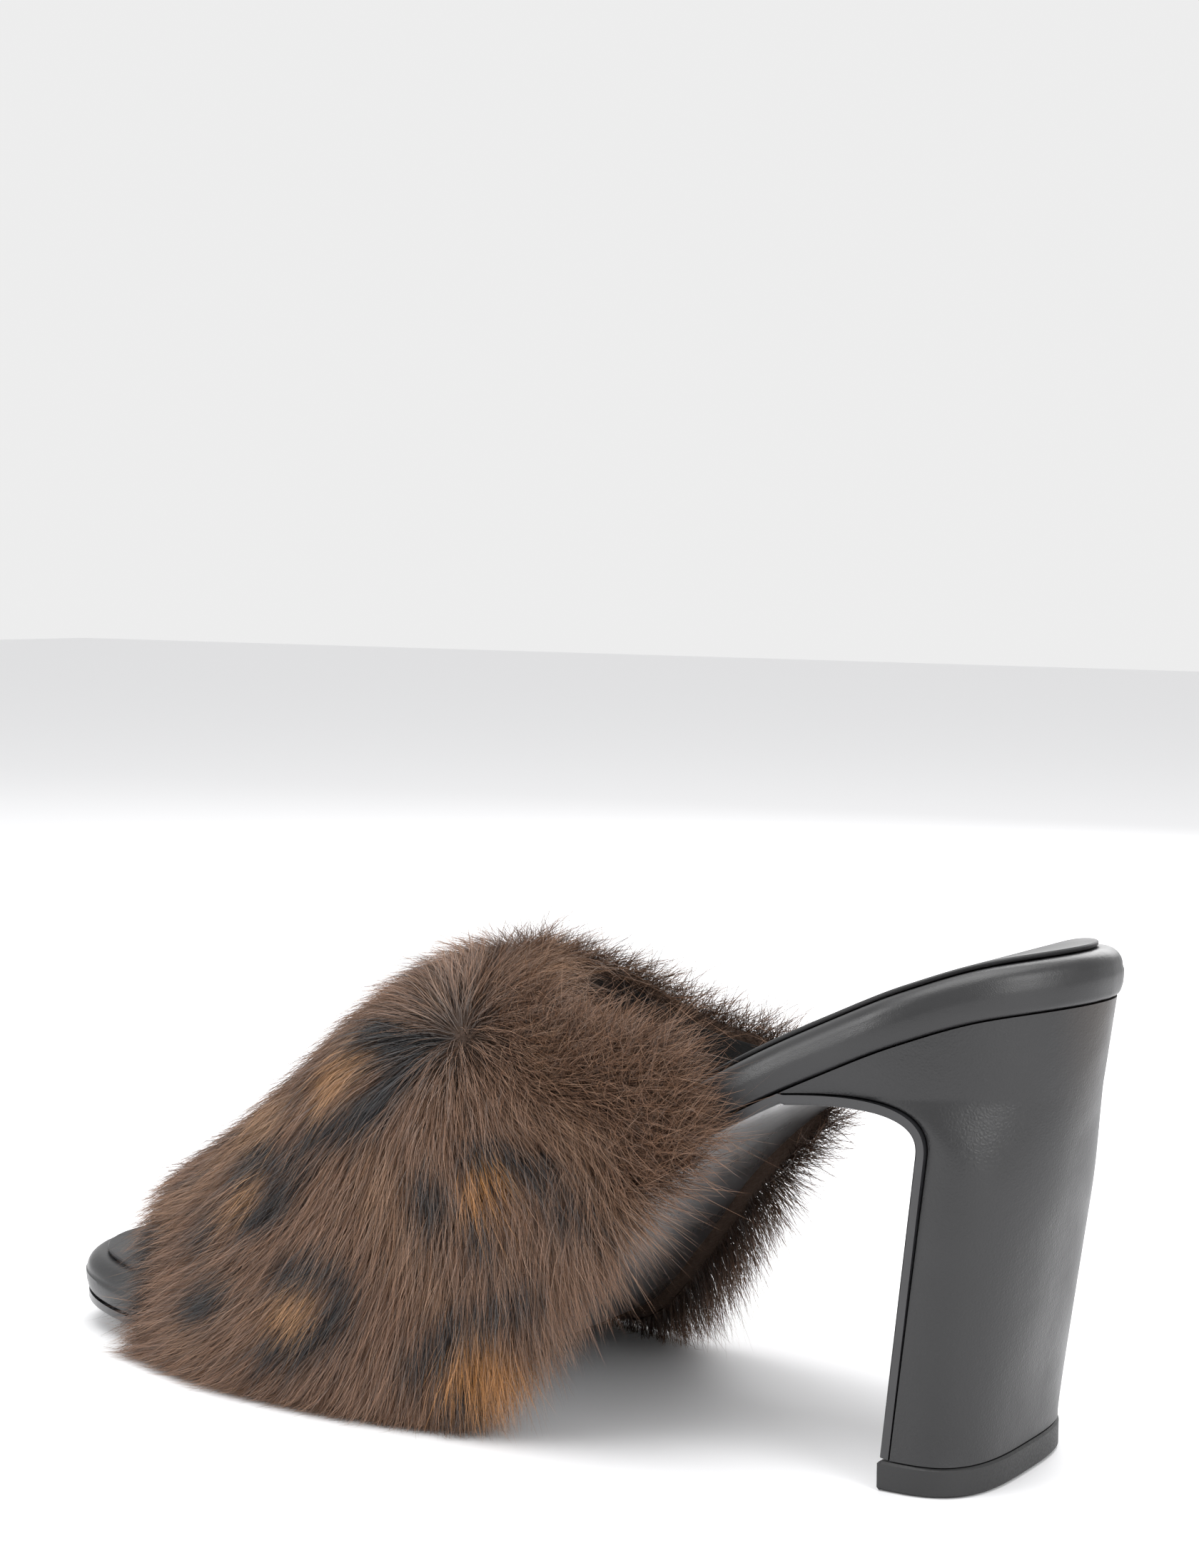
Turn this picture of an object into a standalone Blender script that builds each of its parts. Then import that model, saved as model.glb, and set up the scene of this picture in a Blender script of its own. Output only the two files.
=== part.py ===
"""Heeled mule for the left foot: a fur band over the vamp on a leather covered footbed and a tall block heel.

Metres, +Z up, toe towards -Y, the shoe's left side towards +X. The origin is the middle of the
heel tip's resting face, and the forefoot rests on the same plane.
"""

import math
from collections import namedtuple

import bmesh
import bpy
import numpy as np

for old in list(bpy.data.objects):
    bpy.data.objects.remove(old, do_unlink=True)

# Driving sizes of the last
SHOE_LENGTH = 0.2248  # heel back to toe, along the floor
BALL_WIDTH = 0.0736
HEEL_RISE = 0.0838  # footbed underside at the heel back, above the footbed underside at the tread
INSTEP_RISE = 0.0770  # lining at the collar's throat, above the footbed underside at the tread
HEEL_ROUND = 0.0320  # length of the round of the heel back, seen from above
TOE_ROUND = 0.0392
HEEL_POWER = 1.9  # 2 is an ellipse, and more is squarer
TOE_POWER = 2.9

# Driving sizes of the pieces
CLEARANCE = 0.0003
FOOTBED_THICK = 0.0088
FOOTBED_TOE_THICK = 0.0076
FOOTBED_ROLL = 0.0036  # radius of the wrapped upper edge
INSOLE_THICK = 0.0009
INSOLE_MARGIN = 0.0042  # footbed left bare round the insole
OUTSOLE_THICK = 0.0018
OUTSOLE_INSET = 0.0004
TIP_THICK = 0.0051
TIP_WIDTH = 0.0494
TIP_DEPTH = 0.0177
TIP_POWER = 3.2
TIP_OVERHANG = 0.0004
HEEL_INSET = 0.0007  # heel top inside the footbed's edge
HEEL_SETBACK = 0.0135  # heel back behind the back of the heel tip
BREAST_LEAN = 0.0073  # breast foot in front of the breast's rearmost point
BREAST_HEIGHT = 0.0600  # rearmost point of the breast, above the floor
WEDGE_LENGTH = 0.0270  # heel's wedge, forward of the breast's rearmost point
BREAST_BEND = 0.0105  # reach of the bend between the breast and the wedge
WEDGE_SLIM = 0.0015  # rise of the wedge's lower line just behind its tip
BACKING = 0.0018
PILE = 0.0088
LOCK_RELIEF = 0.0020
LOCK_FRINGE = 0.0036  # reach of the locks past the band's edges
FUR_HANG = 0.0075  # pile below the footbed's underside, where the floor leaves room
FLOOR_GAP = 0.0025

# Counts of faces
SIDE_STEPS = 44
BAND_ACROSS = 66
BAND_PILE_ROWS = 33
BAND_LINING_ROWS = 12
LOCK_WIDTH_CELLS = 3
LOCK_LENGTH_CELLS = 4
HEEL_ROWS = 18
HEEL_COLUMNS = 13

# Cross sections of the last from heel back to toe: the place as a share of SHOE_LENGTH, the
# rise of the underside as a share of HEEL_RISE, half widths as shares of BALL_WIDTH
Section = namedtuple("Section", "along rise lateral medial")
LAST = [
    Section(0.000, 1.000, 0.378, 0.382),
    Section(0.060, 0.974, 0.394, 0.382),
    Section(0.120, 0.919, 0.408, 0.382),
    Section(0.180, 0.846, 0.420, 0.375),
    Section(0.250, 0.751, 0.431, 0.364),
    Section(0.320, 0.634, 0.436, 0.357),
    Section(0.380, 0.482, 0.440, 0.353),
    Section(0.440, 0.276, 0.446, 0.370),
    Section(0.500, 0.104, 0.454, 0.400),
    Section(0.560, 0.042, 0.480, 0.440),
    Section(0.620, 0.020, 0.495, 0.480),
    Section(0.680, 0.000, 0.492, 0.508),
    Section(0.745, 0.000, 0.474, 0.508),
    Section(0.850, 0.030, 0.426, 0.485),
    Section(1.000, 0.070, 0.425, 0.421),
]

# Top line of the lining: the place as a share of SHOE_LENGTH and the height as a share of INSTEP_RISE
Crest = namedtuple("Crest", "along height")
VAMP = [
    Crest(0.284, 1.240),
    Crest(0.386, 1.120),
    Crest(0.470, 1.050),
    Crest(0.546, 1.000),
    Crest(0.608, 0.955),
    Crest(0.661, 0.872),
    Crest(0.708, 0.752),
    Crest(0.784, 0.560),
    Crest(0.833, 0.450),
    Crest(0.900, 0.325),
]

# Edges of the band from its lateral foot over the instep to its medial foot: the turn as a share
# of the half circle, and the collar and toe opening as shares of SHOE_LENGTH
Edge = namedtuple("Edge", "turn collar toe")
BAND = [
    Edge(0.00, 0.290, 0.826),
    Edge(0.10, 0.314, 0.830),
    Edge(0.22, 0.400, 0.842),
    Edge(0.35, 0.490, 0.868),
    Edge(0.50, 0.540, 0.892),
    Edge(0.64, 0.495, 0.896),
    Edge(0.78, 0.425, 0.886),
    Edge(0.90, 0.358, 0.870),
    Edge(1.00, 0.326, 0.862),
]
ARCH_POWER = 2.35  # 2 is an ellipse, and more is squarer
RIDGE_SHIFT = 0.070  # instep ridge towards the medial side, as a share of BALL_WIDTH

TREAD = OUTSOLE_THICK + CLEARANCE
HEEL_BACK = TIP_DEPTH / 2 + HEEL_SETBACK


def smooth(table, field, along):
    """Monotone cubic through one column of a table."""
    key = table[0]._fields[0]
    x = np.array([getattr(row, key) for row in table])
    y = np.array([getattr(row, field) for row in table])
    step, slope = np.diff(x), np.diff(y) / np.diff(x)
    tangent = np.zeros(len(x))
    tangent[0], tangent[-1] = slope[0], slope[-1]
    for i in range(1, len(x) - 1):
        if slope[i - 1] * slope[i] > 0:
            first, last = 2 * step[i] + step[i - 1], step[i] + 2 * step[i - 1]
            tangent[i] = (first + last) / (first / slope[i - 1] + last / slope[i])
    along = np.clip(along, x[0], x[-1])
    k = np.clip(np.searchsorted(x, along, side="right") - 1, 0, len(x) - 2)
    t = (along - x[k]) / step[k]
    return (
        y[k] * (1 + 2 * t) * (1 - t) ** 2
        + step[k] * tangent[k] * t * (1 - t) ** 2
        + y[k + 1] * t**2 * (3 - 2 * t)
        + step[k] * tangent[k + 1] * t**2 * (t - 1)
    )


def share_at(y):
    return (HEEL_BACK - y) / SHOE_LENGTH


def y_at(share):
    return HEEL_BACK - share * SHOE_LENGTH


def underside(y):
    """Height of the footbed's underside."""
    return TREAD + HEEL_RISE * smooth(LAST, "rise", share_at(y))


def thickness(y):
    return FOOTBED_THICK + (FOOTBED_TOE_THICK - FOOTBED_THICK) * np.clip(share_at(y), 0, 1) ** 3


def superellipse(share, power):
    return np.clip(1 - np.clip(share, 0, 1) ** power, 0, 1) ** (1 / power)


def half_width(y, side):
    """Half width of the footbed on its lateral or medial side."""
    from_toe = (1 - share_at(y)) * SHOE_LENGTH
    heel = superellipse((HEEL_ROUND - (HEEL_BACK - y)) / HEEL_ROUND, HEEL_POWER)
    toe = superellipse((TOE_ROUND - from_toe) / TOE_ROUND, TOE_POWER)
    return BALL_WIDTH * smooth(LAST, side, share_at(y)) * heel * toe


def stations():
    """Shares of the length where the sole has its cross sections, closer at the heel and toe."""
    even = np.linspace(0, 1, SIDE_STEPS + 1)
    return 0.4 * even + 0.6 * (1 - np.cos(math.pi * even)) / 2


def footprint(inset=0.0):
    """Outline seen from above, from the heel back along the lateral side to the toe and back."""
    y = y_at(stations())
    lateral = np.stack([half_width(y, "lateral"), y], 1)
    medial = np.stack([-half_width(y, "medial"), y], 1)
    loop = np.concatenate([lateral, medial[-2:0:-1]])
    along = np.roll(loop, -1, 0) - np.roll(loop, 1, 0)
    normal = np.stack([-along[:, 1], along[:, 0]], 1)
    normal /= np.linalg.norm(normal, axis=1)[:, None]
    return loop - normal * inset


def material(name, colour, roughness, sheen=0.0):
    made = bpy.data.materials.new(name)
    made.use_nodes = True
    shader = made.node_tree.nodes["Principled BSDF"]
    shader.inputs["Base Color"].default_value = (*colour, 1)
    shader.inputs["Roughness"].default_value = roughness
    shader.inputs["Metallic"].default_value = 0.0
    shader.inputs["Sheen Weight"].default_value = sheen
    made.diffuse_color = (*colour, 1)
    return made


def add_object(name, points, faces, finish):
    """One closed solid with its faces turned outwards."""
    mesh = bpy.data.meshes.new(name)
    mesh.from_pydata([tuple(point) for point in points], [], faces)
    shape = bmesh.new()
    shape.from_mesh(mesh)
    bmesh.ops.recalc_face_normals(shape, faces=shape.faces)
    bmesh.ops.triangulate(shape, faces=shape.faces)
    if shape.calc_volume(signed=True) < 0:
        bmesh.ops.reverse_faces(shape, faces=shape.faces)
    shape.to_mesh(mesh)
    shape.free()
    mesh.shade_smooth()
    mesh.set_sharp_from_angle(angle=math.radians(38))
    made = bpy.data.objects.new(name, mesh)
    made.data.materials.append(finish)
    bpy.context.scene.collection.objects.link(made)
    return made


def ladder(first, count):
    """Faces across a loop whose first point is on the middle line at the back."""
    half = count // 2
    faces = [(first, first + 1, first + count - 1)]
    for k in range(1, half):
        corners = [first + k, first + k + 1, first + count - k - 1, first + count - k]
        faces.append(tuple(dict.fromkeys(corners)))
    return faces


def stack(name, loops, finish):
    """Closed solid through loops of as many points each, with a ladder of faces at both ends."""
    count = len(loops[0])
    faces = ladder(0, count) + ladder(count * (len(loops) - 1), count)
    for row in range(len(loops) - 1):
        for k in range(count):
            after = (k + 1) % count
            low, high = row * count, (row + 1) * count
            faces.append((low + k, low + after, high + after, high + k))
    return add_object(name, np.concatenate(loops), faces, finish)


def slab(name, rows, finish):
    """Solid that follows the footbed: each row gives an inset and a height function."""
    loops = []
    for inset, height in rows:
        plan = footprint(inset)
        loops.append(np.column_stack([plan, height(plan[:, 1])]))
    return stack(name, loops, finish)


def footbed(finish):
    """Padded board with a wrapped, rounded edge."""
    rows = [(0.0016, underside), (0.0004, lambda y: underside(y) + 0.0006)]
    rows.append((0.0, lambda y: underside(y) + thickness(y) * 0.35))
    for turn in np.linspace(0, math.pi / 2, 4):
        inset = FOOTBED_ROLL * (1 - math.cos(turn))
        drop = FOOTBED_ROLL * (1 - math.sin(turn))
        rows.append((inset, lambda y, drop=drop: underside(y) + thickness(y) - drop))
    return slab("footbed", rows, finish)


def insole(finish):
    """Thin sock that lies on the footbed inside its wrapped edge."""

    def bottom(y):
        return underside(y) + thickness(y) + CLEARANCE

    def top(y):
        return bottom(y) + INSOLE_THICK

    rows = [(INSOLE_MARGIN, bottom), (INSOLE_MARGIN, lambda y: top(y) - INSOLE_THICK / 2)]
    rows.append((INSOLE_MARGIN + INSOLE_THICK / 2, top))
    return slab("insole", rows, finish)


def breast_profile(steps):
    """Breast of the heel from its foot up and forward to the wedge tip, as (y, z) points."""
    foot = np.array([TIP_OVERHANG + OUTSOLE_THICK - TIP_DEPTH / 2, TIP_THICK + CLEARANCE])
    rear = np.array([foot[0] + BREAST_LEAN, BREAST_HEIGHT])
    wedge_y = rear[0] - WEDGE_LENGTH
    wedge = np.array([wedge_y, underside(wedge_y) - CLEARANCE])
    lean = (rear - foot) / np.linalg.norm(rear - foot)
    straight = [foot + (rear - foot) * t for t in np.linspace(0, 1, steps // 2, endpoint=False)]
    bend = [rear, rear + lean * BREAST_BEND, wedge + [WEDGE_LENGTH / 2, WEDGE_SLIM], wedge]
    for t in np.linspace(0, 1, steps - steps // 2 + 1):
        weights = [(1 - t) ** 3, 3 * t * (1 - t) ** 2, 3 * t**2 * (1 - t), t**3]
        straight.append(sum(w * p for w, p in zip(weights, bend)))
    return np.array(straight)


def heel_section(breast, seat):
    """Loop of the heel, with seat from 0 at its foot to 1 under the footbed, from its back to its breast."""
    back = TIP_DEPTH / 2 - TIP_OVERHANG + (HEEL_SETBACK + TIP_OVERHANG - HEEL_INSET) * seat
    depth = back - breast[0]
    round_length = min(depth, TIP_DEPTH + (HEEL_ROUND - TIP_DEPTH) * seat)
    power = TIP_POWER + (HEEL_POWER - TIP_POWER) * seat**0.5
    turn = np.linspace(0, math.pi / 2, HEEL_COLUMNS)
    y = back - depth * (1 - np.cos(turn))
    bend = superellipse((round_length - (back - y)) / round_length, power)
    tip_half = TIP_WIDTH / 2 - TIP_OVERHANG
    sides = []
    for side, sign in (("lateral", 1), ("medial", -1)):
        top_half = BALL_WIDTH * smooth(LAST, side, share_at(y)) - HEEL_INSET
        sides.append(sign * (tip_half + (top_half - tip_half) * seat) * bend)
    back_height = underside(y_at(0)) - CLEARANCE
    foot_height = TIP_THICK + CLEARANCE
    back_line = foot_height + (back_height - foot_height) * seat
    plane = breast[1] + (back_line - breast[1]) * (y - breast[0]) / depth
    seat_line = underside(y) - CLEARANCE
    chord = seat_line[-1] + (seat_line[0] - seat_line[-1]) * (y - breast[0]) / depth
    height = plane + (seat_line - chord) * seat**4
    lateral = np.column_stack([sides[0], y, height])
    medial = np.column_stack([sides[1], y, height])
    return np.concatenate([lateral, medial[:0:-1]])


def heel(finish):
    """Block from a D-shaped foot up to the seat, with its wedge under the waist."""
    profile = breast_profile(HEEL_ROWS)
    loops = []
    rises = np.linspace(0, 1, len(profile))
    for breast, rise in zip(profile, rises):
        loops.append(heel_section(breast, rise))
    return stack("heel", loops, finish)


def heel_tip(finish):
    """Rubber top lift with its flat resting face."""
    turn = np.linspace(0, math.pi / 2, HEEL_COLUMNS)
    depth = TIP_DEPTH * (1 - np.cos(turn))
    half = TIP_WIDTH / 2 * superellipse((TIP_DEPTH - depth) / TIP_DEPTH, TIP_POWER)
    y = TIP_DEPTH / 2 - depth
    plan = np.concatenate([np.stack([half, y], 1), np.stack([-half, y], 1)[:0:-1]])
    loops = [np.column_stack([plan, np.full(len(plan), z)]) for z in (0.0, TIP_THICK)]
    return stack("heel_tip", loops, finish)


def outsole(finish):
    """Thin sole from the toe to the wedge, then down the breast of the heel."""
    profile = breast_profile(HEEL_ROWS)
    share_of_wedge = share_at(profile[-1, 0])
    shares = stations()[::-1]
    shares = np.append(shares[(shares > share_of_wedge + 0.004) & (shares < 1)], share_of_wedge)
    shares = np.insert(shares, 0, 1 - OUTSOLE_INSET / SHOE_LENGTH)
    path, widths = [], []
    for share in shares:
        y = y_at(share)
        path.append((y, float(underside(y)) - CLEARANCE))
        widths.append([half_width(y, side) - OUTSOLE_INSET for side in ("lateral", "medial")])
    top_widths = widths[-1]
    tip_half = TIP_WIDTH / 2 - TIP_OVERHANG
    rises = np.linspace(1, 0, len(profile))
    for (y, z), rise in list(zip(profile[::-1], rises))[1:]:
        path.append((y, z))
        widths.append([tip_half + (width - tip_half) * rise for width in top_widths])
    path, widths = np.array(path), np.array(widths)
    along = np.gradient(path, axis=0)
    along /= np.linalg.norm(along, axis=1)[:, None]
    down = np.column_stack([along[:, 1], -along[:, 0]])
    gap = np.where(np.arange(len(path)) >= len(shares), CLEARANCE, 0.0)[:, None]
    upper_face = path + down * gap
    lower_face = upper_face + down * OUTSOLE_THICK
    lower_face[: len(shares) // 2, 1] = np.maximum(lower_face[: len(shares) // 2, 1], 0.0)
    rows = []
    for top, low, (lateral, medial) in zip(upper_face, lower_face, widths):
        corners = [(lateral, top), (-medial, top), (-medial, low), (lateral, low)]
        rows.append([(x, y, z) for x, (y, z) in corners])
    points = [corner for row in rows for corner in row]
    faces = [(0, 1, 2, 3), tuple(4 * (len(rows) - 1) + k for k in range(4))]
    for row in range(len(rows) - 1):
        for k in range(4):
            after = (k + 1) % 4
            faces.append((4 * row + k, 4 * row + after, 4 * row + 4 + after, 4 * row + 4 + k))
    return add_object("outsole", points, faces, finish)


def lining_point(turn, across):
    """Point of the lining: turn runs over the instep, across runs from the toe edge to the collar."""
    toe, collar = smooth(BAND, "toe", turn), smooth(BAND, "collar", turn)
    share = toe + (collar - toe) * across
    y = y_at(share)
    foot = underside(y)
    crest = TREAD + INSTEP_RISE * smooth(VAMP, "height", share)
    angle = math.pi * turn
    run, climb = math.cos(angle), math.sin(angle)
    side = "lateral" if run > 0 else "medial"
    reach = half_width(y, side) + 1.2 * CLEARANCE
    x = math.copysign(reach * abs(run) ** (2 / ARCH_POWER), run)
    up = max(climb, 0.0) ** (2 / ARCH_POWER)
    x -= RIDGE_SHIFT * BALL_WIDTH * up**3
    return np.array([x, y, foot + (crest - foot) * up])


def lining_frame(turn, across):
    """Point, outward normal and the direction from the toe edge to the collar."""
    small = 1e-4
    point = lining_point(turn, across)
    low, high = max(turn - small, 0.0), min(turn + small, 1.0)
    over = lining_point(high, across) - lining_point(low, across)
    back = lining_point(turn, across + small) - lining_point(turn, across - small)
    normal = np.cross(back, over)
    normal /= np.linalg.norm(normal)
    if normal @ (point - np.array([0, point[1], point[2] - 0.01])) < 0:
        normal = -normal
    return point, normal, back / np.linalg.norm(back)


def band_section(turn, column):
    """Closed loop through the band at one turn: lining, collar edge, pile and toe edge."""
    lock_side = 0.5 + 0.5 * math.cos(2 * math.pi * column / LOCK_WIDTH_CELLS)
    stagger = (column // LOCK_WIDTH_CELLS) % 2 * 0.5
    foot = max(0.0, 1 - min(turn, 1 - turn) / 0.16) ** 1.5
    slim = 1 - 0.38 * foot
    loop = []

    def place(across, past, out):
        point, normal, back = lining_frame(turn, across)
        spot = point + normal * out * slim + back * past
        spot[2] -= FUR_HANG * foot * out / (BACKING + PILE)
        spot[2] = max(spot[2], FLOOR_GAP)
        loop.append(spot)

    for across in np.linspace(0, 1, BAND_LINING_ROWS):
        place(across, 0.0, 0.0)
    deep = BACKING + PILE
    place(1.0, LOCK_FRINGE * (0.55 + 0.45 * lock_side), deep * 0.28)
    place(1.0, LOCK_FRINGE * (0.75 + 0.75 * lock_side), deep * 0.62)
    for row in range(BAND_PILE_ROWS):
        across = 1 - (row + 0.35) / (BAND_PILE_ROWS - 0.3)
        near_edge = min(row, BAND_PILE_ROWS - 1 - row)
        puff = 1 - 0.30 * max(0.0, 1 - near_edge / 2.5) ** 2
        phase = (row / LOCK_LENGTH_CELLS + stagger) % 1.0
        relief = LOCK_RELIEF * (phase - 0.4) * (0.35 + 0.65 * lock_side) * min(1, near_edge / 2)
        place(across, 0.0, deep * puff + relief)
    place(0.0, -LOCK_FRINGE * (1.3 + 0.9 * lock_side), deep * 0.66)
    place(0.0, -LOCK_FRINGE * (0.7 + 0.5 * lock_side), deep * 0.26)
    return loop


def upper(finish):
    """Fur band over the vamp: backing and pile as one hollow arch with its locks fused on."""
    loops = []
    for column in range(BAND_ACROSS + 1):
        loops.append(band_section(column / BAND_ACROSS, column))
    count = len(loops[0])
    points = [spot for loop in loops for spot in loop]
    faces = []
    for column in range(BAND_ACROSS):
        for k in range(count):
            after = (k + 1) % count
            low, high = column * count, (column + 1) * count
            faces.append((low + k, low + after, high + after, high + k))
    for first in (0, BAND_ACROSS * count):
        faces += band_foot(first, count)
    return add_object("upper", points, faces, finish)


def band_foot(first, count):
    """Faces that close the band's foot between its lining and its pile."""
    inner = list(range(BAND_LINING_ROWS))
    outer = [0] + list(range(count - 1, BAND_LINING_ROWS - 2, -1))
    faces = []
    i, j = 0, 0
    while i < len(inner) - 1 or j < len(outer) - 1:
        step_inner = (i + 1) / (len(inner) - 1) <= (j + 1) / (len(outer) - 1)
        if (step_inner and i < len(inner) - 1) or j == len(outer) - 1:
            corners = (inner[i], inner[i + 1], outer[j])
            i += 1
        else:
            corners = (inner[i], outer[j], outer[j + 1])
            j += 1
        if len(set(corners)) == 3:
            faces.append(tuple(first + corner for corner in corners))
    return faces


def build():
    leather = material("black_leather", (0.012, 0.012, 0.014), 0.42)
    sock = material("black_sock_leather", (0.020, 0.020, 0.022), 0.48)
    sole = material("black_smooth_sole", (0.016, 0.016, 0.018), 0.30)
    rubber = material("black_rubber", (0.018, 0.018, 0.019), 0.60)
    fur = material("brown_fur", (0.105, 0.055, 0.032), 0.85, sheen=0.4)
    footbed(leather)
    insole(sock)
    outsole(sole)
    heel(leather)
    heel_tip(rubber)
    upper(fur)


build()
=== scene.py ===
import math

import bmesh
import bpy
import numpy as np
from mathutils import Matrix, Vector


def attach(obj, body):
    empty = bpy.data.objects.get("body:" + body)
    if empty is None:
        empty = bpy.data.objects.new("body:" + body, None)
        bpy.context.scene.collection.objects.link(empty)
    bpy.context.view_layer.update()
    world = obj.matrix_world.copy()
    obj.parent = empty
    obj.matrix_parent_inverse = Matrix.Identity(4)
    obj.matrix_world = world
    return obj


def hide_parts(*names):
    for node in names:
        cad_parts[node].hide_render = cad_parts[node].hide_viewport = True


# Heeled mule for the left foot: fur band over the vamp, leather footbed, tall covered heel.
# Metres, toe towards -Y, the shoe's left side towards +X, origin under the heel tip.
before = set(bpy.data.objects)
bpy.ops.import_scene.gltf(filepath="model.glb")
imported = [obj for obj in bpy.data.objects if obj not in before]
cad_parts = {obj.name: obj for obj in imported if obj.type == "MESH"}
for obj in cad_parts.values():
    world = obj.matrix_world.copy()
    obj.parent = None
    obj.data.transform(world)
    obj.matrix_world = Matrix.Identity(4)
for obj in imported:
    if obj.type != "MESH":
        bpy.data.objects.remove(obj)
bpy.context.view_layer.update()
print("frame loaded")

# Sizes of the last
last = {
    "length": 0.2248,
    "ballWidth": 0.0736,
    "heelRise": 0.0838,
    "instepRise": 0.0770,
    "heelRound": 0.0320,
    "toeRound": 0.0392,
    "heelPower": 1.9,
    "toePower": 2.9,
    "clearance": 0.0003,
    "evenShare": 0.3,  # 1 spaces the stations of a footprint evenly, 0 crowds them at the ends
}
# along, rise, lateral, medial
lastSections = np.array([
    (0.000, 1.000, 0.378, 0.382),
    (0.060, 0.974, 0.394, 0.382),
    (0.120, 0.919, 0.408, 0.382),
    (0.180, 0.846, 0.420, 0.375),
    (0.250, 0.751, 0.431, 0.364),
    (0.320, 0.634, 0.436, 0.357),
    (0.380, 0.482, 0.440, 0.353),
    (0.440, 0.276, 0.446, 0.370),
    (0.500, 0.104, 0.454, 0.400),
    (0.560, 0.042, 0.480, 0.440),
    (0.620, 0.020, 0.495, 0.480),
    (0.680, 0.000, 0.492, 0.508),
    (0.745, 0.000, 0.474, 0.508),
    (0.850, 0.030, 0.426, 0.485),
    (1.000, 0.070, 0.425, 0.421),
])

outsole = {
    "thick": 0.0018,
    "inset": 0.0004,
    "edgeRound": 0.0006,
    "steps": 150,
    "toeSteps": 30,
    "toeShare": 0.06,  # closer steps over this share of the length
}
heelTip = {
    "thick": 0.0051,
    "width": 0.0494,
    "depth": 0.0177,
    "power": 3.2,
    "overhang": 0.0004,
    "lowerRound": 0.0005,
    "upperRound": 0.0004,
}
heel = {
    "inset": 0.0007,
    "setback": 0.0135,
    "breastLean": 0.0073,
    "breastHeight": 0.0600,
    "wedgeLength": 0.0270,
    "breastBend": 0.0105,
    "wedgeSlim": 0.0015,
    "powerFade": 0.5,
    "seatFade": 4,
    "rows": 80,
    "columns": 40,
}
tread = outsole["thick"] + last["clearance"]
heelBack = heelTip["depth"] / 2 + heel["setback"]
stationCount = 130
mergeDistance = 1e-6


def throughPoints(xs, ys, at):
    # smooth curve through the points, without overshoot
    step, slope = np.diff(xs), np.diff(ys) / np.diff(xs)
    tangent = np.zeros(len(xs))
    tangent[0], tangent[-1] = slope[0], slope[-1]
    for i in range(1, len(xs) - 1):
        if slope[i - 1] * slope[i] > 0:
            first, second = 2 * step[i] + step[i - 1], step[i] + 2 * step[i - 1]
            tangent[i] = (first + second) / (first / slope[i - 1] + second / slope[i])
    at = np.clip(at, xs[0], xs[-1])
    k = np.clip(np.searchsorted(xs, at, side="right") - 1, 0, len(xs) - 2)
    t = (at - xs[k]) / step[k]
    return (
        ys[k] * (1 + 2 * t) * (1 - t) ** 2
        + step[k] * tangent[k] * t * (1 - t) ** 2
        + ys[k + 1] * t**2 * (3 - 2 * t)
        + step[k] * tangent[k + 1] * t**2 * (t - 1)
    )


def easeBetween(low, high, value):
    t = np.clip((value - low) / (high - low), 0, 1)
    return t * t * (3 - 2 * t)


def shareAt(y):
    return (heelBack - y) / last["length"]


def yAt(share):
    return heelBack - share * last["length"]


def underside(y):
    # underside of the footbed
    rise = throughPoints(lastSections[:, 0], lastSections[:, 1], shareAt(y))
    return tread + last["heelRise"] * rise


def superellipse(share, power):
    return np.clip(1 - np.clip(share, 0, 1) ** power, 0, 1) ** (1 / power)


def sideWidth(y, column):
    return last["ballWidth"] * throughPoints(lastSections[:, 0], lastSections[:, column], shareAt(y))


def halfWidth(y, lateral):
    # half width of the footbed on its lateral or medial side
    fromToe = (1 - shareAt(y)) * last["length"]
    back = superellipse((last["heelRound"] - (heelBack - y)) / last["heelRound"], last["heelPower"])
    toe = superellipse((last["toeRound"] - fromToe) / last["toeRound"], last["toePower"])
    return np.where(lateral, sideWidth(y, 2), sideWidth(y, 3)) * back * toe


def insetLoop(loop, inset):
    along = np.roll(loop, -1, 0) - np.roll(loop, 1, 0)
    normal = np.stack([-along[:, 1], along[:, 0]], 1)
    normal /= np.linalg.norm(normal, axis=1)[:, None]
    return loop - normal * inset


def footprint(inset):
    # outline from the heel back along the lateral side to the toe and back
    even = np.linspace(0, 1, stationCount + 1)
    crowded = (1 - np.cos(math.pi * even)) / 2
    y = yAt(last["evenShare"] * even + (1 - last["evenShare"]) * crowded)
    lateral = np.stack([halfWidth(y, True), y], 1)
    medial = np.stack([-halfWidth(y, False), y], 1)
    return insetLoop(np.concatenate([lateral, medial[-2:0:-1]]), inset)


def addMesh(name, points, faces, finish, attributes=None, sharp=40):
    mesh = bpy.data.meshes.new(name)
    mesh.from_pydata(np.asarray(points).tolist(), [], faces)
    for label, (kind, values) in (attributes or {}).items():
        made = mesh.attributes.new(label, kind, "POINT")
        field = {"FLOAT": "value", "FLOAT_VECTOR": "vector", "FLOAT_COLOR": "color"}[kind]
        made.data.foreach_set(field, np.asarray(values, np.float32).ravel())
    shape = bmesh.new()
    shape.from_mesh(mesh)
    bmesh.ops.remove_doubles(shape, verts=shape.verts, dist=mergeDistance)
    bmesh.ops.dissolve_degenerate(shape, edges=shape.edges, dist=mergeDistance)
    bmesh.ops.recalc_face_normals(shape, faces=shape.faces)
    shape.to_mesh(mesh)
    shape.free()
    mesh.shade_smooth()
    mesh.set_sharp_from_angle(angle=math.radians(sharp))
    made = bpy.data.objects.new(name, mesh)
    made.data.materials.append(finish)
    bpy.context.scene.collection.objects.link(made)
    return made


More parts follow.
